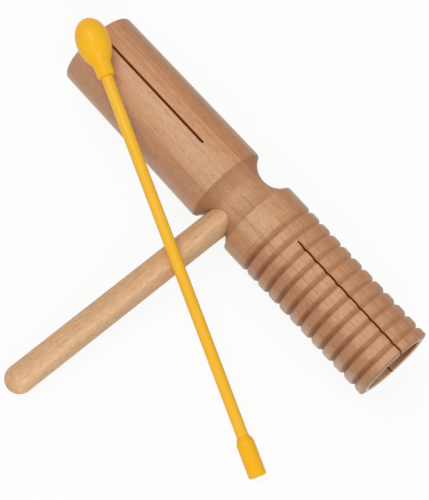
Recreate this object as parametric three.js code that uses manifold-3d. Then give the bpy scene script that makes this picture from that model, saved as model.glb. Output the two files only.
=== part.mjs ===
// A wooden agogo: a turned block with a plain and a ribbed sounding tube, a dowel handle set square into
// its waist, and a loose plastic beater that lies across the handle with its head on the plain tube.
// Millimetres, +Z up. The block lies along X, the plain mouth at -X, and the handle points to -Y.

import * as THREE from "three";
import { mergeVertices } from "three/addons/utils/BufferGeometryUtils.js";
import Module from "manifold-3d";

// Turned block
const plainLength = 99.8; // waist centre to the plain mouth
const ribbedLength = 101; // waist centre to the ribbed mouth
const plainDiameter = 40; // beside the waist
const plainMouthDiameter = 38.8;
const ribbedDiameter = 40; // beside the waist, over the ribs
const ribbedMouthDiameter = 39.2;
const waistDiameter = 27.2;
const coveRadius = 12; // of the hollow turned round the waist
const wallThickness = 4.4; // of a tube, at its mouth
const hubLength = 44; // solid wood between the two chamber floors
const rimLand = 0.8; // flat ring round a mouth
const mouthBevel = 0.8; // how far the end falls away from the ring to the outer edge
const boreBevel = 0.5; // inner edge of a mouth

// Ribs of the second tube
const firstGroove = 24.8; // waist centre to the middle of the first groove
const groovePitch = 7.05;
const grooveWidth = 3.2;
const grooveDepth = 1.35;
const leastEndRib = 4; // from the last groove to the mouth

// Saw kerfs, through both walls of each tube
const plainKerfLength = 72.4;
const plainKerfWidth = 1.3;
const plainKerfTurn = 5.3; // degrees that the kerf leans to the handle from square
const ribbedKerfLength = 66.9;
const ribbedKerfWidth = 1.05;
const ribbedKerfTurn = 6.6;
const ribbedKerfOffset = 1.3; // from the block axis, away from the handle

// Handle
const handleDiameter = 13.2;
const handleOffset = 0.8; // waist centre to the handle's centre, towards the ribbed tube
const handleReach = 136.9; // block axis to the tip
const socketSkin = 9; // wood left between the socket floor and the far side of the waist

// Beater
const beaterLength = 218.2;
const shaftDiameter = 5.4;
const headDiameter = 15.6;
const headCrown = 10.7; // tip to the widest ring
const headTail = 13.5; // long half axis of the oval behind the widest ring
const collarDiameter = 8.4;
const collarMouthDiameter = 8;
const collarLength = 6.7;
const collarRound = 0.8;
const headSocketDepth = 15; // from the collar mouth
const buttDiameter = 8.1;
const buttLength = 18.5; // with its conical shoulder
const shoulderLength = 2.8;
const shoulderLip = 0.35; // wall at the thin end of the shoulder
const buttRound = 1.1;
const buttSocketDepth = 12;

// How the beater lies
const crossingReach = 44.3; // block axis to where the shaft passes over the handle, in plan
const crossingStation = 105.1; // that place on the shaft, from the butt end
const beaterYaw = 18.7; // degrees between the shaft and the block axis, in plan

const seatGap = 0.3; // between pieces that touch or plug together
const weldDistance = 1e-4; // vertices nearer than this are one

// Search for the beater's resting slope
const stationStep = 0.5; // between the places along the beater that are tried against the rest
const steepestSlope = 40; // degrees, either way
const slopeTolerance = 1e-7; // radians

// Facets
const blockSides = 36;
const handleSides = 32;
const beaterSides = 20;
const arcSteps = 3; // on a small rounded edge
const coveSteps = 7;
const domeSteps = 8;
const grooveSteps = 4;

const wasm = await Module();
wasm.setup();

const degrees = Math.PI / 180;
const plainRadius = plainDiameter / 2;
const plainMouthRadius = plainMouthDiameter / 2;
const ribbedRadius = ribbedDiameter / 2;
const ribbedMouthRadius = ribbedMouthDiameter / 2;
const waistRadius = waistDiameter / 2;
const handleRadius = handleDiameter / 2;
const shaftRadius = shaftDiameter / 2;
const headRadius = headDiameter / 2;
const collarRadius = collarDiameter / 2;
const collarMouthRadius = collarMouthDiameter / 2;
const buttRadius = buttDiameter / 2;

const beech = new THREE.MeshStandardMaterial({ color: 0xc8966f, roughness: 0.6, metalness: 0 });
const paleBeech = new THREE.MeshStandardMaterial({ color: 0xdaae80, roughness: 0.6, metalness: 0 });
const yellowPlastic = new THREE.MeshStandardMaterial({ color: 0xfab82d, roughness: 0.4, metalness: 0 });

// A closed mesh geometry as a solid that can be joined and cut.
function solidOf(geometry) {
  const bare = geometry.clone();
  bare.deleteAttribute("normal");
  bare.deleteAttribute("uv");
  const merged = mergeVertices(bare, weldDistance);
  return new wasm.Manifold(
    new wasm.Mesh({
      numProp: 3,
      vertProperties: merged.attributes.position.array,
      triVerts: new Uint32Array(merged.index.array),
    }),
  );
}

function geometryOf(solid) {
  const { vertProperties, triVerts } = solid.getMesh();
  const geometry = new THREE.BufferGeometry();
  geometry.setAttribute("position", new THREE.BufferAttribute(vertProperties, 3));
  geometry.setIndex(new THREE.BufferAttribute(triVerts, 1));
  geometry.computeVertexNormals();
  return geometry;
}

// A profile of [along, radius] points, from one end on the axis to the other, turned round the X axis.
function turned(profile, sides) {
  const points = profile.map(([along, radius]) => new THREE.Vector2(radius, along));
  return new THREE.LatheGeometry(points, sides).rotateZ(-Math.PI / 2);
}

// Points of a quarter of an ellipse between two ends; it leaves the first end parallel to the axis
// when axialFirst is true, and square to it otherwise.
function quarter(start, end, axialFirst, steps) {
  const points = [];
  for (let i = 0; i <= steps; i++) {
    const angle = ((i / steps) * Math.PI) / 2;
    const along = axialFirst ? Math.sin(angle) : 1 - Math.cos(angle);
    const across = axialFirst ? 1 - Math.cos(angle) : Math.sin(angle);
    points.push([start[0] + (end[0] - start[0]) * along, start[1] + (end[1] - start[1]) * across]);
  }
  return points;
}

// Half width of the waist's hollow on the side of a tube of the given radius.
function coveReach(radius) {
  const depth = radius - waistRadius;
  return depth < coveRadius ? Math.sqrt(2 * coveRadius * depth - depth * depth) : coveRadius;
}

// Outer radius of the block at a place along its axis, with the waist and the grooves left out.
function tubeRadius(along) {
  const [radius, mouthRadius, length] =
    along < 0
      ? [plainRadius, plainMouthRadius, plainLength]
      : [ribbedRadius, ribbedMouthRadius, ribbedLength];
  const start = coveReach(radius);
  const share = Math.max(0, (Math.abs(along) - start) / (length - start));
  return radius + (mouthRadius - radius) * share;
}

// One side of the waist, from its middle out to the edge of a tube. The mouth of the tube is at
// side times its length, so side is -1 for the plain tube and 1 for the ribbed one.
function coveProfile(side, radius) {
  const reach = coveReach(radius);
  const points = [];
  for (let i = 0; i <= coveSteps; i++) {
    const along = (reach * i) / coveSteps;
    points.push([side * along, waistRadius + coveRadius - Math.sqrt(coveRadius ** 2 - along ** 2)]);
  }
  points[coveSteps] = [side * reach, radius];
  return points;
}

// The wall of a tube from its outer face over the bevelled mouth and down the chamber to the middle of the
// floor.
function mouthProfile(side, length, mouthRadius) {
  const boreRadius = mouthRadius - wallThickness;
  const ringRadius = boreRadius + boreBevel;
  const floor = hubLength / 2;
  return [
    [side * (length - mouthBevel), mouthRadius],
    [side * length, ringRadius + rimLand],
    [side * length, ringRadius],
    [side * (length - boreBevel), boreRadius],
    [side * floor, boreRadius],
    [side * floor, 0],
  ];
}

function grooveProfile() {
  const points = [];
  const last = ribbedLength - leastEndRib;
  for (let middle = firstGroove; middle <= last; middle += groovePitch) {
    for (let i = 0; i <= grooveSteps; i++) {
      const across = (2 * i) / grooveSteps - 1;
      const along = middle + (across * grooveWidth) / 2;
      const depth = (grooveDepth * (1 + Math.cos(Math.PI * across))) / 2;
      points.push([along, tubeRadius(along) - depth]);
    }
  }
  return points;
}

// A slab with a round inner end that cuts a kerf through both walls of a tube.
function kerfCutter(side, length, kerfLength, width, turn) {
  const tip = length - kerfLength + width / 2;
  const outline = new THREE.Shape();
  outline.moveTo(length + width, -width / 2);
  outline.lineTo(length + width, width / 2);
  outline.lineTo(tip, width / 2);
  outline.absarc(tip, 0, width / 2, Math.PI / 2, (3 * Math.PI) / 2, false);
  const depth = plainDiameter + ribbedDiameter;
  const slab = new THREE.ExtrudeGeometry(outline, { depth, bevelEnabled: false, curveSegments: arcSteps });
  slab.translate(0, 0, -depth / 2);
  if (side < 0) slab.rotateZ(Math.PI);
  return slab.rotateX(turn * degrees);
}

const socketFloor = waistRadius - socketSkin; // along +Y from the block axis

function resonatorBlock() {
  const plain = [
    ...coveProfile(-1, plainRadius),
    ...mouthProfile(-1, plainLength, plainMouthRadius),
  ].reverse();
  const ribbed = [
    ...coveProfile(1, ribbedRadius).slice(1),
    ...grooveProfile(),
    ...mouthProfile(1, ribbedLength, ribbedMouthRadius),
  ];
  const socketReach = Math.max(plainRadius, ribbedRadius) + socketFloor + seatGap;
  const socket = new THREE.CylinderGeometry(
    handleRadius + seatGap,
    handleRadius + seatGap,
    socketReach,
    handleSides,
  );
  socket.translate(handleOffset, socketFloor - socketReach / 2, 0);
  const plainKerf = kerfCutter(-1, plainLength, plainKerfLength, plainKerfWidth, plainKerfTurn);
  const ribbedKerf = kerfCutter(1, ribbedLength, ribbedKerfLength, ribbedKerfWidth, ribbedKerfTurn);
  ribbedKerf.translate(0, ribbedKerfOffset, 0);
  return geometryOf(
    solidOf(turned([...plain, ...ribbed], blockSides))
      .subtract(solidOf(plainKerf))
      .subtract(solidOf(ribbedKerf))
      .subtract(solidOf(socket)),
  );
}

// The dowel along -Y, from its flat end in the socket to its domed tip.
function handleDowel() {
  const inner = seatGap - socketFloor;
  const dome = quarter([handleReach - handleRadius, handleRadius], [handleReach, 0], true, domeSteps);
  const dowel = turned([[inner, 0], [inner, handleRadius], ...dome], handleSides);
  return dowel.rotateZ(-Math.PI / 2).translate(handleOffset, 0, 0);
}

// Beater stations count from the butt end to the tip of the head.
const headWidest = beaterLength - headCrown;
const neckReach = headTail * Math.sqrt(1 - (collarRadius / headRadius) ** 2);
const collarTop = headWidest - neckReach;
const collarMouth = collarTop - collarLength;
const socketRadius = shaftRadius + seatGap;
const headSocketEnd = collarMouth + headSocketDepth;
const buttSocketEnd = buttLength - buttSocketDepth;

function beaterHead() {
  const tail = [];
  for (let i = 0; i <= domeSteps; i++) {
    const back = neckReach * (1 - i / domeSteps);
    tail.push([headWidest - back, headRadius * Math.sqrt(1 - (back / headTail) ** 2)]);
  }
  const crown = quarter([headWidest, headRadius], [beaterLength, 0], true, domeSteps);
  const lip = quarter(
    [collarMouth, collarMouthRadius - collarRound],
    [collarMouth + collarRound, collarMouthRadius],
    false,
    arcSteps,
  );
  return turned(
    [
      [headSocketEnd, 0],
      [headSocketEnd, socketRadius],
      [collarMouth, socketRadius],
      ...lip,
      ...tail,
      ...crown.slice(1),
    ],
    beaterSides,
  );
}

function beaterShaft() {
  const start = buttSocketEnd + seatGap;
  const end = headSocketEnd - seatGap;
  return turned([[start, 0], [start, shaftRadius], [end, shaftRadius], [end, 0]], beaterSides);
}

function beaterButt() {
  const edge = quarter([0, buttRadius - buttRound], [buttRound, buttRadius], false, arcSteps);
  return turned(
    [
      [0, 0],
      ...edge,
      [buttLength - shoulderLength, buttRadius],
      [buttLength, socketRadius + shoulderLip],
      [buttLength, socketRadius],
      [buttSocketEnd, socketRadius],
      [buttSocketEnd, 0],
    ],
    beaterSides,
  );
}

// Outer radius of the beater at a station.
function beaterRadius(station) {
  if (station > headWidest) {
    const share = (station - headWidest) / headCrown;
    return headRadius * Math.sqrt(Math.max(0, 1 - share ** 2));
  }
  if (station > collarTop) return headRadius * Math.sqrt(1 - ((headWidest - station) / headTail) ** 2);
  if (station > collarMouth) return collarRadius;
  return station < buttLength ? buttRadius : shaftRadius;
}

// The block lies on its thicker tube and on the domed end of the handle, so the handle slopes down.
const axisHeight = Math.max(plainRadius, ribbedRadius);
const handleSlope = Math.asin((axisHeight - handleRadius) / (handleReach - handleRadius));
const handleAlong = new THREE.Vector3(0, -Math.cos(handleSlope), -Math.sin(handleSlope));

function beaterDirection(slope) {
  const yaw = beaterYaw * degrees;
  const level = Math.cos(slope);
  return new THREE.Vector3(-Math.cos(yaw) * level, Math.sin(yaw) * level, Math.sin(slope));
}

const beaterStations = [];
for (let station = 0; station <= beaterLength; station += stationStep) beaterStations.push(station);

// Least height of the beater's axis over the crossing at which it clears the handle, block and table.
function crossingHeight(slope) {
  const direction = beaterDirection(slope);
  const normal = direction.clone().cross(handleAlong).normalize();
  if (normal.z < 0) normal.negate();
  const apart = handleRadius + shaftRadius + seatGap;
  let height = axisHeight + (apart + normal.y * crossingReach) / normal.z;
  for (const station of beaterStations) {
    const run = station - crossingStation;
    const radius = beaterRadius(station);
    const along = handleOffset + run * direction.x;
    const beside = run * direction.y - crossingReach;
    const rise = run * direction.z;
    height = Math.max(height, radius * Math.cos(slope) - rise);
    const reach = radius + tubeRadius(along) + seatGap;
    const overBlock = along > -plainLength && along < ribbedLength && Math.abs(beside) < reach;
    if (overBlock) height = Math.max(height, axisHeight + Math.sqrt(reach ** 2 - beside ** 2) - rise);
  }
  return height;
}

// The beater comes to rest at the slope where its centre of gravity lies lowest.
function restingSlope() {
  const weights = beaterStations.map((station) => beaterRadius(station) ** 2);
  const total = weights.reduce((sum, weight) => sum + weight, 0);
  const balance = beaterStations.reduce((sum, station, i) => sum + station * weights[i], 0) / total;
  const centreHeight = (slope) => crossingHeight(slope) + (balance - crossingStation) * Math.sin(slope);
  let low = -steepestSlope * degrees;
  let high = steepestSlope * degrees;
  while (high - low > slopeTolerance) {
    const third = (high - low) / 3;
    if (centreHeight(low + third) < centreHeight(high - third)) high -= third;
    else low += third;
  }
  return (low + high) / 2;
}

function piece(name, geometry, material) {
  const mesh = new THREE.Mesh(geometry, material);
  mesh.name = name;
  return mesh;
}

const instrument = new THREE.Group();
instrument.add(
  piece("resonator_block", resonatorBlock(), beech),
  piece("handle", handleDowel(), paleBeech),
);
instrument.position.z = axisHeight;
instrument.rotation.x = handleSlope;

const slope = restingSlope();
const direction = beaterDirection(slope);
const beater = new THREE.Group();
beater.add(
  piece("beater_shaft", beaterShaft(), yellowPlastic),
  piece("beater_head", beaterHead(), yellowPlastic),
  piece("beater_butt", beaterButt(), yellowPlastic),
);
beater.quaternion.setFromUnitVectors(new THREE.Vector3(1, 0, 0), direction);
beater.position.set(handleOffset, -crossingReach, crossingHeight(slope));
beater.position.addScaledVector(direction, -crossingStation);

// The origin is under the middle of everything, on the table.
const lying = new THREE.Group();
lying.add(instrument, beater);
const box = new THREE.Box3().setFromObject(lying, true);
const middle = box.getCenter(new THREE.Vector3());
lying.position.set(-middle.x, -middle.y, -box.min.z);

const agogo = new THREE.Group();
agogo.name = "wooden_agogo";
agogo.add(lying);

export default agogo;
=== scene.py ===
import math

import bmesh
import bpy
from mathutils import Matrix, Quaternion, Vector


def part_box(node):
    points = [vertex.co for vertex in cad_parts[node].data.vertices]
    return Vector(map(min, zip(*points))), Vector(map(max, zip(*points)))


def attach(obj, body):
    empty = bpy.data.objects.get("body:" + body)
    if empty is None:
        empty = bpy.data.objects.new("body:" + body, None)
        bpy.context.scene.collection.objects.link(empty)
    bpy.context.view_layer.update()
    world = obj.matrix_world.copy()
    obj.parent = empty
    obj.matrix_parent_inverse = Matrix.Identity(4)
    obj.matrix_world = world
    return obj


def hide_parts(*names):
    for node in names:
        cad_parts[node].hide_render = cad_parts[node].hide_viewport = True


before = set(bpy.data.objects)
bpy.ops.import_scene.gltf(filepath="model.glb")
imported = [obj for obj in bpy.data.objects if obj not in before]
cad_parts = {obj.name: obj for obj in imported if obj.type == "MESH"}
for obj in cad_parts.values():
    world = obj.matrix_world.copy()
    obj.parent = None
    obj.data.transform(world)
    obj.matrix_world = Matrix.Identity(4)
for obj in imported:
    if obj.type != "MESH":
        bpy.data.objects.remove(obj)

scene = bpy.context.scene
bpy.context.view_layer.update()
mm = 0.001
weld = 0.002 * mm          # points closer than this become one
roundSegments = 5          # in an eased corner
print("frame:", ", ".join(sorted(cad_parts)))


# Lathe work. A profile is a list of (along, radius, easing) points that starts and ends on the X axis,
# and easing is how far a corner is rounded along its two sides.

def turnProfile(profile, steps):
    bm = bmesh.new()
    verts = [bm.verts.new((along, radius, 0)) for along, radius, easing in profile]
    for first, second in zip(verts, verts[1:]):
        bm.edges.new((first, second))
    for vert, (along, radius, easing) in zip(verts, profile):
        if easing:
            bmesh.ops.bevel(bm, geom=[vert], offset=easing, offset_type="OFFSET", segments=roundSegments,
                            profile=0.5, affect="VERTICES", material=-1)
    bmesh.ops.spin(bm, geom=bm.verts[:] + bm.edges[:], cent=(0, 0, 0), axis=(1, 0, 0), angle=math.tau,
                   steps=steps, use_merge=True)
    bmesh.ops.remove_doubles(bm, verts=bm.verts, dist=weld)
    bmesh.ops.recalc_face_normals(bm, faces=bm.faces)
    return bm


def turnPiece(name, profile, steps, place, material):
    return finishMesh(turnProfile(profile, steps), name, place, [material])


def arc(centre, size, fromAngle, toAngle, steps):
    # points of an oval's arc, (along, radius, 0), angles in degrees from the +X axis
    points = []
    for i in range(steps + 1):
        angle = math.radians(fromAngle + (toAngle - fromAngle) * i / steps)
        points.append((centre[0] + size[0] * math.cos(angle), centre[1] + size[1] * math.sin(angle), 0))
    return points


def alongX(origin, direction):
    # matrix that lays a piece turned on the X axis along a direction
    return Matrix.Translation(origin) @ direction.to_track_quat("X", "Z").to_matrix().to_4x4()


def finishMesh(bm, name, place, materials, sharpAngle=35):
    bmesh.ops.transform(bm, matrix=place, verts=bm.verts)
    mesh = bpy.data.meshes.new(name)
    bm.to_mesh(mesh)
    bm.free()
    for material in materials:
        mesh.materials.append(material)
    piece = bpy.data.objects.new(name, mesh)
    scene.collection.objects.link(piece)
    smooth(piece, sharpAngle)
    return piece


def smooth(piece, sharpAngle):
    # edges past the angle, in degrees, stay sharp
    piece.data.shade_smooth()
    piece.data.set_sharp_from_angle(angle=math.radians(sharpAngle))


def cutAway(piece, cutter):
    boolean = piece.modifiers.new("cut", "BOOLEAN")
    boolean.object = cutter
    boolean.operation = "DIFFERENCE"
    boolean.solver = "EXACT"
    boolean.material_mode = "TRANSFER"
    bpy.context.view_layer.update()
    cut = piece.evaluated_get(bpy.context.evaluated_depsgraph_get())
    piece.data = bpy.data.meshes.new_from_object(cut)
    piece.modifiers.clear()
    bpy.data.objects.remove(cutter)


def dress(piece, body, node):
    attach(piece, body)
    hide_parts(node)
    print("piece:", piece.name, len(piece.data.polygons), "faces")


# Node helpers

def addNode(tree, kind, inputs=None, **settings):
    node = tree.nodes.new(kind)
    for name, value in settings.items():
        setattr(node, name, value)
    for socket, value in (inputs or {}).items():
        if isinstance(value, bpy.types.NodeSocket):
            tree.links.new(value, node.inputs[socket])
        else:
            node.inputs[socket].default_value = value
    return node


def math2(tree, operation, first, second):
    return addNode(tree, "ShaderNodeMath", {0: first, 1: second}, operation=operation).outputs[0]


def mixColour(tree, factor, first, second, blend="MIX"):
    # a Mix node's colours are its inputs 6 and 7 and its output 2
    inputs = {"Factor": factor, 6: first, 7: second}
    return addNode(tree, "ShaderNodeMix", inputs, data_type="RGBA", blend_type=blend).outputs[2]


def greyOf(tree, value):
    return addNode(tree, "ShaderNodeCombineColor", {0: value, 1: value, 2: value}).outputs[0]


def ease(tree, value, low, high, toLow=0.0, toHigh=1.0):
    inputs = {"Value": value, "From Min": low, "From Max": high, "To Min": toLow, "To Max": toHigh}
    return addNode(tree, "ShaderNodeMapRange", inputs, interpolation_type="SMOOTHSTEP").outputs[0]


def stretched(tree, vector, scale):
    return addNode(tree, "ShaderNodeVectorMath", {0: vector, 1: scale}, operation="MULTIPLY").outputs[0]


def alongOf(tree, vector):
    return addNode(tree, "ShaderNodeSeparateXYZ", {0: vector}).outputs[0]


def noise(tree, vector, scale, detail=2.0, roughness=0.5):
    inputs = {"Vector": stretched(tree, vector, scale), "Scale": 1.0,
              "Detail": detail, "Roughness": roughness}
    return addNode(tree, "ShaderNodeTexNoise", inputs).outputs["Fac"]


def newGroup(name, inputs, outputs):
    group = bpy.data.node_groups.new(name, "ShaderNodeTree")
    for label, kind in inputs:
        group.interface.new_socket(label, in_out="INPUT", socket_type=kind)
    for label, kind in outputs:
        group.interface.new_socket(label, in_out="OUTPUT", socket_type=kind)
    return group, group.nodes.new("NodeGroupInput").outputs, group.nodes.new("NodeGroupOutput").inputs


def newMaterial(name):
    material = bpy.data.materials.new(name)
    material.use_nodes = True
    tree = material.node_tree
    return material, tree, tree.nodes["Principled BSDF"]


def grainSpace(tree, centre, turn):
    # Object coordinates turned so that X runs along the grain and the piece's own axis is at zero
    coords = addNode(tree, "ShaderNodeTexCoord").outputs["Object"]
    mapping = addNode(tree, "ShaderNodeMapping", {"Vector": coords, "Rotation": turn.to_euler(),
                                                  "Location": -(turn @ centre)})
    return mapping.outputs[0]


def ringRamp(tree, ring, look):
    # colours of the growth rings, by their distance across the piece
    ramp = addNode(tree, "ShaderNodeValToRGB")
    first, last = look["rings"][0][0], look["rings"][-1][0]
    stops = ramp.color_ramp.elements
    while len(stops) < len(look["rings"]):
        stops.new(0.5)             # moved to its place below
    for stop, (distance, colour) in zip(stops, look["rings"]):
        stop.position = (distance - first) / (last - first)
        stop.color = [channel * tintAndPaintedShade for channel, tintAndPaintedShade in zip(look[colour], look["tintAndPaintedShade"])] + [1]
    limits = {"Value": ring, "From Min": first * mm, "From Max": last * mm}
    spread = addNode(tree, "ShaderNodeMapRange", limits)
    tree.links.new(spread.outputs[0], ramp.inputs[0])
    return ramp.outputs["Color"]


# Beech: growth rings that lie as flat layers, streaks along them, fine fibres and short dark ray flecks.
# Scales are per metre, along the grain and across it. A span is where an effect begins and where it is full.

beechFigure = {
    "wanderScale": (9, 45, 45),
    "wanderSpan": (0.2, 0.8),
    "wander": 1.1 * mm,            # of the rings, to either side
    "streakScale": (16, 40, 40),
    "streaksPerMetre": 700,        # across the rings
    "darkSpan": (0.52, 0.8),       # dark streaks
    "lightSpan": (0.48, 0.2),      # light streaks
    "lightGain": 1.06,
    "fibre": (260, 2300, 2300),
    "fibreShade": (0.86, 1.1),
    "fibreHeight": 0.6,
    "mottle": (220, 900, 900),
    "mottleShade": (0.94, 1.06),
    "shadeSpan": (0.25, 0.75),     # fibres and mottle
    "fleck": (330, 1250, 1250),
    "fleckShare": 0.8,             # cells without a fleck
    "fleckSpan": (0.36, 0.1),      # from the middle of a cell
    "fleckDepth": 0.5,
    "roughSpan": (0.2, 1.2),
    "bumpDepth": 0.15 * mm,
}


def buildGrowthRings():
    group, inputs, outputs = newGroup(
        "growthRings",
        [("Vector", "NodeSocketVector"), ("Lean", "NodeSocketVector")],
        [("Ring", "NodeSocketFloat")],
    )
    grain = inputs["Vector"]
    across = addNode(group, "ShaderNodeVectorMath", {0: grain, 1: inputs["Lean"]}, operation="DOT_PRODUCT")
    drift = noise(group, grain, beechFigure["wanderScale"])
    slow = ease(group, drift, *beechFigure["wanderSpan"], -1.0, 1.0)
    wander = math2(group, "MULTIPLY", slow, beechFigure["wander"])
    group.links.new(math2(group, "ADD", across.outputs["Value"], wander), outputs["Ring"])
    return group


def buildBeechGrain():
    group, inputs, outputs = newGroup(
        "beechGrain",
        [("Vector", "NodeSocketVector"), ("Ring", "NodeSocketFloat"), ("Wood", "NodeSocketColor"),
         ("Streak", "NodeSocketColor"), ("Streak Amount", "NodeSocketFloat"),
         ("Fleck", "NodeSocketColor"), ("Fleck Amount", "NodeSocketFloat")],
        [("Color", "NodeSocketColor"), ("Rough", "NodeSocketFloat"), ("Height", "NodeSocketFloat")],
    )
    grain = inputs["Vector"]
    layers = math2(group, "MULTIPLY", inputs["Ring"], beechFigure["streaksPerMetre"])
    layerStep = addNode(group, "ShaderNodeCombineXYZ", {1: layers}).outputs[0]
    drift = stretched(group, grain, beechFigure["streakScale"])
    layered = addNode(group, "ShaderNodeVectorMath", {0: drift, 1: layerStep}).outputs[0]
    streakNoise = {"Vector": layered, "Scale": 1.0, "Detail": 3.0, "Roughness": 0.55}
    streak = addNode(group, "ShaderNodeTexNoise", streakNoise).outputs["Fac"]
    fibre = noise(group, grain, beechFigure["fibre"], roughness=0.6)
    mottle = noise(group, grain, beechFigure["mottle"])

    darkest = ease(group, streak, *beechFigure["darkSpan"])
    dark = math2(group, "MULTIPLY", darkest, inputs["Streak Amount"])
    colour = mixColour(group, dark, inputs["Wood"], inputs["Streak"])
    light = ease(group, streak, *beechFigure["lightSpan"], 1.0, beechFigure["lightGain"])
    fibreShade = ease(group, fibre, *beechFigure["shadeSpan"], *beechFigure["fibreShade"])
    mottleShade = ease(group, mottle, *beechFigure["shadeSpan"], *beechFigure["mottleShade"])
    shade = math2(group, "MULTIPLY", math2(group, "MULTIPLY", light, fibreShade), mottleShade)
    colour = mixColour(group, 1.0, colour, greyOf(group, shade), "MULTIPLY")

    cells = addNode(group, "ShaderNodeTexVoronoi", {"Vector": stretched(group, grain, beechFigure["fleck"]),
                                                    "Scale": 1.0})
    cellPick = addNode(group, "ShaderNodeSeparateColor", {0: cells.outputs["Color"]}).outputs[0]
    picked = math2(group, "GREATER_THAN", cellPick, beechFigure["fleckShare"])
    spot = ease(group, cells.outputs["Distance"], *beechFigure["fleckSpan"])
    dash = math2(group, "MULTIPLY", math2(group, "MULTIPLY", picked, spot), inputs["Fleck Amount"])
    colour = mixColour(group, dash, colour, inputs["Fleck"])

    fibreHeight = math2(group, "MULTIPLY", fibre, beechFigure["fibreHeight"])
    fleckDepth = math2(group, "MULTIPLY", dash, beechFigure["fleckDepth"])
    group.links.new(colour, outputs["Color"])
    group.links.new(math2(group, "ADD", fibre, dash), outputs["Rough"])
    group.links.new(math2(group, "SUBTRACT", fibreHeight, fleckDepth), outputs["Height"])
    return group


# Marks that a turning tool or a boring bit leaves: fine rings round the X axis

def buildToolRings():
    group, inputs, outputs = newGroup(
        "toolRings",
        [("Vector", "NodeSocketVector"), ("Rings per Metre", "NodeSocketFloat")],
        [("Height", "NodeSocketFloat")],
    )
    spot = math2(group, "MULTIPLY", alongOf(group, inputs["Vector"]), inputs["Rings per Metre"])
    ringNoise = {"W": spot, "Scale": 1.0, "Detail": 3.0}
    rings = addNode(group, "ShaderNodeTexNoise", ringNoise, noise_dimensions="1D")
    group.links.new(rings.outputs["Fac"], outputs["Height"])
    return group


growthRings = buildGrowthRings()
beechGrain = buildBeechGrain()
toolRings = buildToolRings()


def beech(name, look, centre, direction, shade=None):
    # shade, where a look has a floor, makes the mask that says where the floor's colours show; those colours
    # are painted shade in the grooves and in the waist's hollow
    material, tree, shader = newMaterial(name)
    turn = direction.rotation_difference(Vector((1, 0, 0)))
    space = grainSpace(tree, centre, turn)
    rings = addNode(tree, "ShaderNodeGroup", node_tree=growthRings)
    tree.links.new(space, rings.inputs["Vector"])
    rings.inputs["Lean"].default_value = turn @ Vector(look["ringsFace"]).normalized()
    figure = addNode(tree, "ShaderNodeGroup", node_tree=beechGrain)
    tree.links.new(space, figure.inputs["Vector"])
    tree.links.new(rings.outputs["Ring"], figure.inputs["Ring"])
    wood = ringRamp(tree, rings.outputs["Ring"], look)
    if shade:
        floor = ringRamp(tree, rings.outputs["Ring"], look["floor"])
        wood = mixColour(tree, shade(tree, space), wood, floor)
    tree.links.new(wood, figure.inputs["Wood"])
    for socket in ("Streak", "Fleck"):
        figure.inputs[socket].default_value = [*look[socket.lower()], 1]
        figure.inputs[socket + " Amount"].default_value = look[socket.lower() + "Amount"]
    marks = addNode(tree, "ShaderNodeGroup", node_tree=toolRings)
    tree.links.new(space, marks.inputs["Vector"])
    marks.inputs["Rings per Metre"].default_value = look["ringsPerMetre"]
    markHeight = math2(tree, "MULTIPLY", marks.outputs["Height"], look["ringHeight"])
    height = math2(tree, "ADD", figure.outputs["Height"], markHeight)
    bump = addNode(tree, "ShaderNodeBump", {"Height": height, "Strength": look["bump"],
                                            "Distance": beechFigure["bumpDepth"]})
    roughness = ease(tree, figure.outputs["Rough"], *beechFigure["roughSpan"], *look["roughness"])
    tree.links.new(figure.outputs["Color"], shader.inputs["Base Color"])
    tree.links.new(roughness, shader.inputs["Roughness"])
    tree.links.new(bump.outputs["Normal"], shader.inputs["Normal"])
    shader.inputs["Specular IOR Level"].default_value = look["specular"]
    return material


# Resonator block, turned on an axis along X, and the dowel handle in its waist

block = {
    "plainLength": 99.8 * mm,      # waist centre to the plain mouth
    "ribbedLength": 101 * mm,      # waist centre to the ribbed mouth
    "plainRadius": 20 * mm,        # beside the waist
    "plainMouthRadius": 19.4 * mm,
    "ribbedRadius": 20 * mm,       # beside the waist
    "ribbedMouthRadius": 19.6 * mm,
    "waistRadius": 13.6 * mm,
    "coveRadius": 12 * mm,         # of the hollow's round
    "wall": 4.4 * mm,
    "hubLength": 44 * mm,          # solid wood between the chamber floors
    "rimLand": 0.8 * mm,           # flat ring round a mouth
    "rimPale": 0.5 * mm,           # paler band outside that ring
    "mouthBevel": 0.8 * mm,        # fall of the end from that ring to the outer edge
    "boreBevel": 0.5 * mm,
    "bevelRound": 0.15 * mm,
    "outerRound": 0.35 * mm,
    "plainArris": 0.8 * mm,        # easing where the hollow of the waist meets a tube
    "ribbedArris": 0.4 * mm,
    "firstGroove": 24.8 * mm,      # waist centre to the middle of the groove
    "groovePitch": 7.05 * mm,
    "grooveHalf": 1.6 * mm,
    "grooveDepth": 1.35 * mm,
    "leastEndRib": 4 * mm,         # least length from the last groove's middle to the mouth
    "shoulderRound": 0.45 * mm,
    "valleyRound": 0.12 * mm,
    "turnSteps": 192,
    "coveSteps": 26,
    "sharpAngle": 30,
}
# a kerf's turn is in degrees round the block's axis, and it narrows to tipShare of its width over its tip
kerfs = {
    "plain": {"side": -1, "length": 72.4 * mm, "width": 1.3 * mm, "turn": 5.3, "offset": 0,
              "tip": 1 * mm, "tipShare": 1},
    "ribbed": {"side": 1, "length": 66.9 * mm, "width": 1.05 * mm, "turn": 6.6, "offset": 1.3 * mm,
               "tip": 2.5 * mm, "tipShare": 0.7},
}
handle = {
    "radius": 6.6 * mm,
    "offset": 0.8 * mm,            # waist centre to the handle's centre
    "reach": 136.9 * mm,           # block axis to the tip
    "socketSkin": 9 * mm,          # wood left behind the socket
    "seatGap": 0.3 * mm,           # left at the bottom of the socket
    "glueLine": 0.2 * mm,          # round the dowel in the socket
    "endRound": 0.5 * mm,
    "turnSteps": 96,
    "domeSteps": 18,
}

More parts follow.
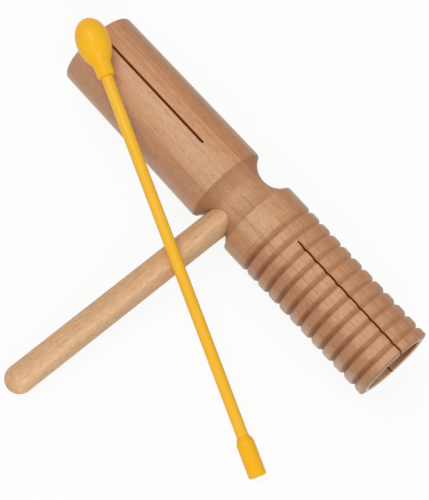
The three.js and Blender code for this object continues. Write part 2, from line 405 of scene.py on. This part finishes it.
blockLow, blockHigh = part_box("resonator_block")
waist = (blockLow + blockHigh) / 2
waist.x = blockLow.x + block["plainLength"]
ribStart = block["firstGroove"] - block["groovePitch"] / 2
handleSlope = math.asin((block["plainRadius"] - handle["radius"]) / (handle["reach"] - handle["radius"]))
handleAlong = Vector((0, -math.cos(handleSlope), -math.sin(handleSlope)))
handleRoot = waist + Vector((handle["offset"], 0, 0))
handlePlace = alongX(handleRoot, handleAlong)
socketFloor = block["waistRadius"] - handle["socketSkin"]


def coveReach(radius):
    # how far along the axis the waist's hollow reaches, where it meets a tube of this radius
    depth = radius - block["waistRadius"]
    return math.sqrt(2 * block["coveRadius"] * depth - depth * depth)


def ribbedRadius(along):
    start = coveReach(block["ribbedRadius"])
    share = (along - start) / (block["ribbedLength"] - start)
    return block["ribbedRadius"] + (block["ribbedMouthRadius"] - block["ribbedRadius"]) * share


def mouthOf(along):
    # length and mouth radius of the half on this side of the waist
    half = "plain" if along < 0 else "ribbed"
    return block[half + "Length"], block[half + "MouthRadius"]


def coveProfile():
    # the arc stops short of each arris, so that the arris has room to be eased
    plainEdge = coveReach(block["plainRadius"])
    ribbedEdge = coveReach(block["ribbedRadius"])
    low = math.degrees(math.acos((plainEdge - block["plainArris"]) / block["coveRadius"]))
    high = math.degrees(math.acos((ribbedEdge - block["ribbedArris"]) / block["coveRadius"]))
    centre = (0, block["waistRadius"] + block["coveRadius"])
    size = (block["coveRadius"], block["coveRadius"])
    return [(-plainEdge, block["plainRadius"], block["plainArris"]),
            *arc(centre, size, 180 + low, 360 - high, block["coveSteps"]),
            (ribbedEdge, block["ribbedRadius"], block["ribbedArris"])]


def grooveProfile():
    middle = block["firstGroove"]
    points = [(ribStart, ribbedRadius(ribStart), 0)]
    while middle <= block["ribbedLength"] - block["leastEndRib"]:
        for across in (-1, 0, 1):
            along = middle + across * block["grooveHalf"]
            depth = 0 if across else block["grooveDepth"]
            easing = block["shoulderRound"] if across else block["valleyRound"]
            points.append((along, ribbedRadius(along) - depth, easing))
        middle += block["groovePitch"]
    return points


def mouthProfile(side):
    # from the outer edge of a mouth round its rim and down the bore to the middle of the chamber floor
    length, mouthRadius = mouthOf(side)
    bore = mouthRadius - block["wall"]
    floor = side * block["hubLength"] / 2
    ring = bore + block["boreBevel"]
    land = ring + block["rimLand"]
    easing = block["bevelRound"]
    fall = block["mouthBevel"] * block["rimPale"] / (mouthRadius - land)
    return [(side * (length - block["mouthBevel"]), mouthRadius, block["outerRound"]),
            (side * (length - fall), land + block["rimPale"], 0),
            (side * length, land, easing),
            (side * length, ring, easing),
            (side * (length - block["boreBevel"]), bore, easing),
            (floor, bore, 0), (floor, 0, 0)]


def isUpright(edge):
    return abs(edge.verts[0].co.z - edge.verts[1].co.z) > mm


def makeKerfCutter(kerf, material):
    # a slab from past the mouth inwards, narrowed to its tip, with a round inner end
    length = mouthOf(kerf["side"])[0]
    over = 5 * mm                          # past the mouth
    height = 3 * block["plainRadius"]      # through both walls
    roundShare = 0.4                       # of the tip's width
    reach = kerf["length"] + over
    tipRound = roundShare * kerf["width"] * kerf["tipShare"]
    bm = bmesh.new()
    bmesh.ops.create_cube(bm, size=1)
    bmesh.ops.scale(bm, vec=(reach, kerf["width"], height), verts=bm.verts)
    bmesh.ops.bisect_plane(bm, geom=bm.verts[:] + bm.edges[:] + bm.faces[:], dist=weld,
                           plane_co=(kerf["tip"] - reach / 2, 0, 0), plane_no=(1, 0, 0))
    end = [vert for vert in bm.verts if vert.co.x < weld - reach / 2]
    bmesh.ops.scale(bm, vec=(1, kerf["tipShare"], 1), verts=end)
    corners = [edge for edge in bm.edges if all(vert in end for vert in edge.verts) and isUpright(edge)]
    bmesh.ops.bevel(bm, geom=corners, offset=tipRound, offset_type="OFFSET", segments=roundSegments,
                    profile=0.5, affect="EDGES", material=-1)
    bmesh.ops.translate(bm, vec=(length + over - reach / 2, 0, 0), verts=bm.verts)
    if kerf["side"] < 0:
        bmesh.ops.rotate(bm, matrix=Matrix.Rotation(math.pi, 3, "Z"), verts=bm.verts)
    bmesh.ops.rotate(bm, matrix=Matrix.Rotation(math.radians(kerf["turn"]), 3, "X"), verts=bm.verts)
    bmesh.ops.translate(bm, vec=(0, kerf["offset"], 0), verts=bm.verts)
    lying = Matrix.Translation(waist) @ Matrix.Rotation(handleSlope, 4, "X")
    return finishMesh(bm, "kerfCutter", lying, [material])


def makeSocketCutter(material):
    radius = handle["radius"] + handle["glueLine"]
    profile = [(-socketFloor, 0, 0), (-socketFloor, radius, 0),
               (block["plainRadius"], radius, 0), (block["plainRadius"], 0, 0)]
    return turnPiece("socketCutter", profile, handle["turnSteps"], handlePlace, material)


def finishAt(along, radius):
    # which finish a face has, by the place of its middle, which lies a little inside the true round
    slack = 1 * mm
    length, mouthRadius = mouthOf(along)
    bore = mouthRadius - block["wall"]
    ring = bore + block["boreBevel"]
    if abs(along) > length - block["mouthBevel"] and radius > bore:
        return "end" if radius > ring + block["rimLand"] + block["rimPale"] else "rim"
    if abs(along) > block["hubLength"] / 2 - slack and radius < ring:
        return "bored"
    if abs(along) < coveReach(block["plainRadius"]) and radius > block["waistRadius"] - slack:
        return "cove"
    return "rib" if along > ribStart else "turned"


def makeBlock(finishes):
    profile = [*reversed(mouthProfile(-1)), *coveProfile(), *grooveProfile(), *mouthProfile(1)]
    bm = turnProfile(profile, block["turnSteps"])
    slots = list(finishes)
    for face in bm.faces:
        middle = face.calc_center_median()
        face.material_index = slots.index(finishAt(middle.x, math.hypot(middle.y, middle.z)))
    piece = finishMesh(bm, "turned_block", Matrix.Translation(waist), finishes.values())
    for kerf in kerfs.values():
        cutAway(piece, makeKerfCutter(kerf, finishes["sawn"]))
    cutAway(piece, makeSocketCutter(finishes["sawn"]))
    smooth(piece, block["sharpAngle"])
    return piece


def makeHandle(material):
    inner = handle["seatGap"] - socketFloor
    radius = handle["radius"]
    dome = arc((handle["reach"] - radius, 0), (radius, radius), 90, 0, handle["domeSteps"])
    profile = [(inner, 0, 0), (inner, radius, handle["endRound"]), *dome]
    return turnPiece("dowel_handle", profile, handle["turnSteps"], handlePlace, material)


# Looks of the beech. A ring is a distance in mm along ringsFace and the colour there. A tint, listed in each
# look, multiplies them all: a stain on some finishes, painted shade on the hollow's darker tones.

blockLook = {
    "ringsFace": (-0.012, 0.875, 0.485),
    "paintedLimbSheen": (0.62, 0.42, 0.28), "flank": (0.51, 0.267, 0.142), "soft": (0.585, 0.345, 0.198),
    "pale": (0.62, 0.353, 0.199), "mid": (0.632, 0.33, 0.173), "amber": (0.612, 0.298, 0.149),
    "late": (0.505, 0.219, 0.1), "warm": (0.545, 0.24, 0.105), "paintedShade": (0.50, 0.219, 0.085),
    "edge": (0.495, 0.282, 0.148), "tintAndPaintedShade": (1, 1, 1),
    # These rings run across the tube as the camera sees it, so besides the grain's lines they carry painted
    # light: the grey tone at -20 is a painted sheen on the lower-left limb, the flank tones are partly the
    # wood's figure and partly painted shade, the tones from 15 mm on are painted shade toward the
    # upper-right limb, and the tone at 19.3 is that shade greyed by a painted sheen.
    "rings": [(-20, "paintedLimbSheen"), (-15.2, "flank"), (-8.2, "flank"), (-7.5, "soft"), (-7.1, "flank"),
              (-6.8, "soft"), (-4.6, "pale"), (-3.7, "pale"), (-3.45, "amber"), (-3.2, "pale"),
              (-1.2, "pale"), (-1, "mid"), (-0.8, "pale"), (0.9, "pale"), (1.1, "mid"), (1.3, "pale"),
              (4.9, "pale"), (6.4, "mid"), (9.4, "mid"), (10.4, "amber"), (11.1, "amber"), (11.4, "late"),
              (11.7, "mid"), (13.2, "amber"), (13.5, "late"), (13.9, "amber"), (15.1, "warm"),
              (15.4, "late"), (15.8, "warm"), (16.8, "warm"), (18, "paintedShade"), (19.3, "edge")],
    "streak": (0.42, 0.175, 0.08), "streakAmount": 0.55,
    "fleck": (0.32, 0.12, 0.05), "fleckAmount": 0.42,
    "ringsPerMetre": 1800, "ringHeight": 0.3, "bump": 0.3,
    "roughness": (0.36, 0.48), "specular": 0.3,
}
# The hollow's floor tones are painted shade, mixed in most on the wall that rises to the plain tube.
paintedCoveShade = dict(blockLook, soft=(0.54, 0.295, 0.158), pale=(0.575, 0.315, 0.168), mid=(0.645, 0.35, 0.19),
                 late=(0.6, 0.29, 0.144), tintAndPaintedShade=(0.85, 0.82, 0.81))
coveLook = dict(blockLook, floor=paintedCoveShade, edgeSpan=(1, 0.94), riseSpan=(-0.1, -0.5), restShade=0.1,
                roughness=(0.46, 0.6), specular=0.15)      # spans are shares of the hollow's reach
# The groove floor tones are painted shade in the grooves, darkest on the tube's lower-left side where the
# light grazes.
paintedGrooveShade = {
    "deep": (0.272, 0.105, 0.036), "flank": (0.345, 0.143, 0.057), "pale": (0.445, 0.218, 0.108),
    "mid": (0.52, 0.256, 0.128), "warm": (0.525, 0.246, 0.108), "tintAndPaintedShade": (1, 1, 1),
    "rings": [(-20, "deep"), (-13, "deep"), (-9, "flank"), (-6, "flank"), (-2.5, "pale"), (2.5, "pale"),
              (8, "mid"), (12, "warm"), (20, "warm")],
}
ribLook = dict(blockLook, flank=(0.455, 0.22, 0.113), soft=(0.515, 0.262, 0.14), pale=(0.597, 0.327, 0.181),
               mid=(0.592, 0.305, 0.162), amber=(0.578, 0.281, 0.14), floor=paintedGrooveShade,
               grooveSpan=(1.95 * mm, 0.6 * mm), streakAmount=0.85)
# The rim's tint makes it paler and greyer than the wood beside it.
rimLook = dict(blockLook, flank=(0.66, 0.38, 0.21), soft=(0.66, 0.375, 0.21), tintAndPaintedShade=(1.2, 1.3, 1.45),
               streakAmount=0.1, fleckAmount=0.15)
endLook = dict(blockLook, tintAndPaintedShade=(0.62, 0.53, 0.47), streakAmount=0.15)
# The bore's rings are painted light and shade: the pale tones light its lower-left side and the darkest
# tones, from 4 mm on, shade the other side.
boreLook = dict(blockLook, pale=(0.63, 0.44, 0.29), mid=(0.52, 0.28, 0.145), paintedShade=(0.32, 0.15, 0.08),
                rings=[(-15, "pale"), (-11, "pale"), (-5, "mid"), (4, "paintedShade"), (15, "paintedShade")],
                ringsPerMetre=700, ringHeight=1.2, bump=0.6, roughness=(0.65, 0.85), specular=0.2)
sawnLook = dict(blockLook, tintAndPaintedShade=(0.95, 0.56, 0.28), ringsPerMetre=2600, ringHeight=1.5, bump=0.8,
                roughness=(0.75, 0.9), specular=0.15)
# On the dowel the darkest tones, from 3.4 mm on, are painted shade along its lower-right side.
handleLook = dict(blockLook, ringsFace=(0.97, 0, 0.24), pale=(0.815, 0.51, 0.294), mid=(0.755, 0.457, 0.25),
                  warm=(0.70, 0.42, 0.222), paintedShade=(0.675, 0.43, 0.24), late=(0.6, 0.335, 0.165),
                  rings=[(-6.6, "warm"), (-2.4, "warm"), (-2.1, "late"), (-1.7, "warm"), (1.2, "mid"),
                         (1.9, "pale"), (2.4, "pale"), (3.4, "paintedShade"), (6.6, "paintedShade")],
                  streak=(0.50, 0.265, 0.125), streakAmount=0.32, fleck=(0.30, 0.13, 0.055), fleckAmount=0.5,
                  ringsPerMetre=900, ringHeight=0.05, roughness=(0.44, 0.6), specular=0.25)


def coveShade(tree, space):
    # mask of the painted shade in the waist's hollow: 1 where it rises to the plain tube, restShade in the
    # rest of it, 0 at its edges
    reach = coveReach(block["plainRadius"])
    edgeSpan = [share * reach for share in coveLook["edgeSpan"]]
    riseSpan = [share * reach for share in coveLook["riseSpan"]]
    along = alongOf(tree, space)
    away = addNode(tree, "ShaderNodeMath", {0: along}, operation="ABSOLUTE").outputs[0]
    rise = ease(tree, along, *riseSpan, coveLook["restShade"], 1.0)
    return math2(tree, "MULTIPLY", ease(tree, away, *edgeSpan), rise)


def grooveShade(tree, space):
    # mask of the painted shade in the grooves: 0 on top of a rib, 1 in the middle of a groove
    fromFirst = math2(tree, "SUBTRACT", alongOf(tree, space), block["firstGroove"])
    away = math2(tree, "PINGPONG", fromFirst, block["groovePitch"] / 2)
    return ease(tree, away, *ribLook["grooveSpan"])


blockLooks = {"turned": blockLook, "bored": boreLook, "sawn": sawnLook, "rib": ribLook, "rim": rimLook,
              "end": endLook, "cove": coveLook}
blockShades = {"rib": grooveShade, "cove": coveShade}
blockAlong = Vector((1, 0, 0))
blockFinishes = {name: beech(name + "Beech", look, waist, blockAlong, blockShades.get(name))
                 for name, look in blockLooks.items()}
dowelBeech = beech("dowelBeech", handleLook, handleRoot, handleAlong)
print("beech finishes:", ", ".join(blockFinishes), "and dowel")

dress(makeBlock(blockFinishes), "instrument", "resonator_block")
dress(makeHandle(dowelBeech), "instrument", "handle")


# Beater, turned on an axis from the end of its butt to the tip of its head

beater = {
    "length": 218.2 * mm,
    "shaftRadius": 2.7 * mm,
    "shaftRound": 0.3 * mm,
    "headRadius": 7.8 * mm,
    "headCrown": 10.7 * mm,        # tip to the widest ring
    "headTail": 13.5 * mm,         # widest ring to where the tail's oval would close
    "collarRadius": 4.2 * mm,
    "collarMouthRadius": 4 * mm,
    "collarLength": 6.7 * mm,
    "collarRound": 1.1 * mm,
    "neckRound": 0.8 * mm,
    "headSocketDepth": 15 * mm,
    "buttRadius": 4.05 * mm,
    "buttLength": 18.5 * mm,
    "shoulderLength": 2.8 * mm,
    "shoulderRound": 0.6 * mm,
    "shoulderLip": 0.12 * mm,
    "buttRound": 1.1 * mm,
    "buttSocketDepth": 12 * mm,
    "pushFit": 0.04 * mm,          # round the shaft in its sockets
    "seatGap": 0.3 * mm,           # at the bottom of the sockets
    "turnSteps": 96,
    "arcSteps": 24,
}


def pointsOf(node):
    return [vert.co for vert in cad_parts[node].data.vertices]


def middleOf(node):
    points = pointsOf(node)
    return sum(points, Vector()) / len(points)


buttMiddle = middleOf("beater_butt")
beaterAlong = (middleOf("beater_head") - buttMiddle).normalized()
buttBack = min(beaterAlong.dot(point - buttMiddle) for point in pointsOf("beater_butt"))
beaterPlace = alongX(buttMiddle + beaterAlong * buttBack, beaterAlong)

headWidest = beater["length"] - beater["headCrown"]
neckShare = beater["collarRadius"] / beater["headRadius"]
collarTop = headWidest - beater["headTail"] * math.sqrt(1 - neckShare ** 2)
collarMouth = collarTop - beater["collarLength"]
headSocketEnd = collarMouth + beater["headSocketDepth"]
buttSocketEnd = beater["buttLength"] - beater["buttSocketDepth"]
socketRadius = beater["shaftRadius"] + beater["pushFit"]


def makeHead(material):
    neckAngle = math.degrees(math.asin(neckShare))
    widest = (headWidest, 0)
    tail = arc(widest, (beater["headTail"], beater["headRadius"]), 180 - neckAngle, 90, beater["arcSteps"])
    crown = arc(widest, (beater["headCrown"], beater["headRadius"]), 90, 0, beater["arcSteps"])
    profile = [
        (headSocketEnd, 0, 0), (headSocketEnd, socketRadius, 0), (collarMouth, socketRadius, 0),
        (collarMouth, beater["collarMouthRadius"], beater["collarRound"]),
        (collarTop, beater["collarRadius"], beater["neckRound"]),
        *tail[2:], *crown[1:],     # the tail's first points make room for the neck's easing
    ]
    return turnPiece("egg_head", profile, beater["turnSteps"], beaterPlace, material)


def makeShaft(material):
    start = buttSocketEnd + beater["seatGap"]
    end = headSocketEnd - beater["seatGap"]
    radius = beater["shaftRadius"]
    easing = beater["shaftRound"]
    profile = [(start, 0, 0), (start, radius, easing), (end, radius, easing), (end, 0, 0)]
    return turnPiece("beater_rod", profile, beater["turnSteps"], beaterPlace, material)


def makeButt(material):
    shoulder = beater["buttLength"] - beater["shoulderLength"]
    profile = [
        (0, 0, 0), (0, beater["buttRadius"], beater["buttRound"]),
        (shoulder, beater["buttRadius"], beater["shoulderRound"]),
        (beater["buttLength"], socketRadius + beater["shoulderLip"], 0),
        (beater["buttLength"], socketRadius, 0), (buttSocketEnd, socketRadius, 0), (buttSocketEnd, 0, 0),
    ]
    return turnPiece("grip_butt", profile, beater["turnSteps"], beaterPlace, material)


plasticLook = {
    "colour": (0.95, 0.475, 0.007, 1), "thin": (0.97, 0.505, 0.013, 1),
    "cloud": (60, 60, 60), "skin": (1500, 1500, 1500), "noiseSpan": (0.3, 0.7),
    "roughness": (0.2, 0.28), "bump": 0.06, "bumpDepth": 0.1 * mm, "specular": 0.2,
}
# The rod's copy of the plastic is paler and less saturated than the head's: painted sheen along the shaft.
rodSheenLook = dict(plasticLook, colour=(0.94, 0.497, 0.025, 1), thin=(0.96, 0.527, 0.038, 1))


def mouldedPlastic(name, look):
    material, tree, shader = newMaterial(name)
    coords = addNode(tree, "ShaderNodeTexCoord").outputs["Object"]
    cloud = ease(tree, noise(tree, coords, look["cloud"]), *look["noiseSpan"])
    skin = noise(tree, coords, look["skin"])
    bump = addNode(tree, "ShaderNodeBump", {"Height": skin, "Strength": look["bump"],
                                            "Distance": look["bumpDepth"]})
    roughness = ease(tree, skin, *look["noiseSpan"], *look["roughness"])
    tree.links.new(mixColour(tree, cloud, look["colour"], look["thin"]), shader.inputs["Base Color"])
    tree.links.new(roughness, shader.inputs["Roughness"])
    tree.links.new(bump.outputs["Normal"], shader.inputs["Normal"])
    shader.inputs["Specular IOR Level"].default_value = look["specular"]
    return material


yellowPlastic = mouldedPlastic("yellowPlastic", plasticLook)
rodSheenPlastic = mouldedPlastic("rodSheenPlastic", rodSheenLook)
dress(makeHead(yellowPlastic), "beater", "beater_head")
dress(makeShaft(rodSheenPlastic), "beater", "beater_shaft")
dress(makeButt(yellowPlastic), "beater", "beater_butt")


# Studio: white table and surroundings, and a soft lamp on each side of the camera

studio = {
    "cameraPlace": (0.18595, -0.38733, 0.74866),   # from the middle of the waist
    "cameraAim": (0.01030, -0.02633, 0.00005),     # the same
    "cameraRoll": 24.09,           # degrees, anticlockwise
    "lens": 137.62,                # mm, as a camera's is given
    "tableSize": 6.0,
    "tableWhite": 0.98,            # as the camera sees it
    "tableBounce": 0.72,           # as it lights the object
    "tableGlow": 0.9,              # share of plain white that the camera sees on the table
    "glowAcross": (5 * mm, 11 * mm),       # from under the block's axis, where the glow begins and is full
    "glowAlong": (-3 * mm, -0.5 * mm),     # the same from under the mouths
    "ambient": 0.52,
    "lampDistance": 1.5,
    "lampSize": 0.9,
    "leftLamp": {"from": (-0.36, -0.28, 0.89), "power": 6.6},
    "rightLamp": {"from": (0.64, -0.5, 0.58), "power": 6.4},
}


def seenDirectly(tree):
    # 1 for rays from the camera, from gloss and through glass
    path = addNode(tree, "ShaderNodeLightPath").outputs
    gloss = math2(tree, "MAXIMUM", path["Is Glossy Ray"], path["Is Transmission Ray"])
    return math2(tree, "MAXIMUM", path["Is Camera Ray"], gloss)


def besideBlock(tree):
    # 0 on the strip of table under the block's axis, 1 away from it
    middle = ((blockLow.x + blockHigh.x) / 2, waist.y, 0)
    halfLength = (blockHigh.x - blockLow.x) / 2
    place = addNode(tree, "ShaderNodeTexCoord").outputs["Object"]
    offset = addNode(tree, "ShaderNodeVectorMath", {0: place, 1: middle}, operation="SUBTRACT").outputs[0]
    away = addNode(tree, "ShaderNodeVectorMath", {0: offset}, operation="ABSOLUTE").outputs[0]
    along, across = addNode(tree, "ShaderNodeSeparateXYZ", {0: away}).outputs[:2]
    pastMouth = ease(tree, math2(tree, "SUBTRACT", along, halfLength), *studio["glowAlong"])
    return math2(tree, "MAXIMUM", pastMouth, ease(tree, across, *studio["glowAcross"]))


def makeTable():
    bm = bmesh.new()
    bmesh.ops.create_grid(bm, x_segments=1, y_segments=1, size=studio["tableSize"] / 2)
    material, tree, shader = newMaterial("whiteTable")
    tree.nodes.remove(shader)
    seen = seenDirectly(tree)
    shade = ease(tree, seen, 0.0, 1.0, studio["tableBounce"], studio["tableWhite"])
    paper = addNode(tree, "ShaderNodeBsdfDiffuse", {"Color": greyOf(tree, shade)})
    glow = addNode(tree, "ShaderNodeEmission", {"Color": (1, 1, 1, 1), "Strength": 1.0})
    share = math2(tree, "MULTIPLY", besideBlock(tree), studio["tableGlow"])
    mixed = addNode(tree, "ShaderNodeMixShader", {0: math2(tree, "MULTIPLY", seen, share),
                                                  1: paper.outputs[0], 2: glow.outputs[0]})
    tree.links.new(mixed.outputs[0], tree.nodes["Material Output"].inputs["Surface"])
    table = finishMesh(bm, "table", Matrix.Identity(4), [material])


def makeSurroundings():
    world = bpy.data.worlds.new("whiteRoom")
    world.use_nodes = True
    tree = world.node_tree
    strength = ease(tree, seenDirectly(tree), 0.0, 1.0, studio["ambient"], 1.0)
    background = tree.nodes["Background"]
    background.inputs["Color"].default_value = (1, 1, 1, 1)
    tree.links.new(strength, background.inputs["Strength"])
    scene.world = world


def hold(item, place, turn):
    # puts a lamp or a camera into the scene, at a place from the middle of the waist
    holder = bpy.data.objects.new(item.name, item)
    scene.collection.objects.link(holder)
    holder.location = waist + place
    holder.rotation_mode = "QUATERNION"
    holder.rotation_quaternion = turn
    return holder


def makeLamp(name):
    lamp = bpy.data.lights.new(name, "AREA")
    lamp.shape = "DISK"
    lamp.size = studio["lampSize"]
    lamp.energy = studio[name]["power"]
    away = Vector(studio[name]["from"]).normalized()
    hold(lamp, Vector(studio["cameraAim"]) + away * studio["lampDistance"], away.to_track_quat("Z", "Y"))


def makeCamera():
    camera = bpy.data.cameras.new("camera")
    camera.lens = studio["lens"]
    place = Vector(studio["cameraPlace"])
    look = (Vector(studio["cameraAim"]) - place).to_track_quat("-Z", "Y")
    roll = Quaternion((0, 0, 1), math.radians(studio["cameraRoll"]))
    scene.camera = hold(camera, place, look @ roll)


makeTable()
makeSurroundings()
makeLamp("leftLamp")
makeLamp("rightLamp")
makeCamera()
scene.view_settings.view_transform = "Standard"
print("studio ready")
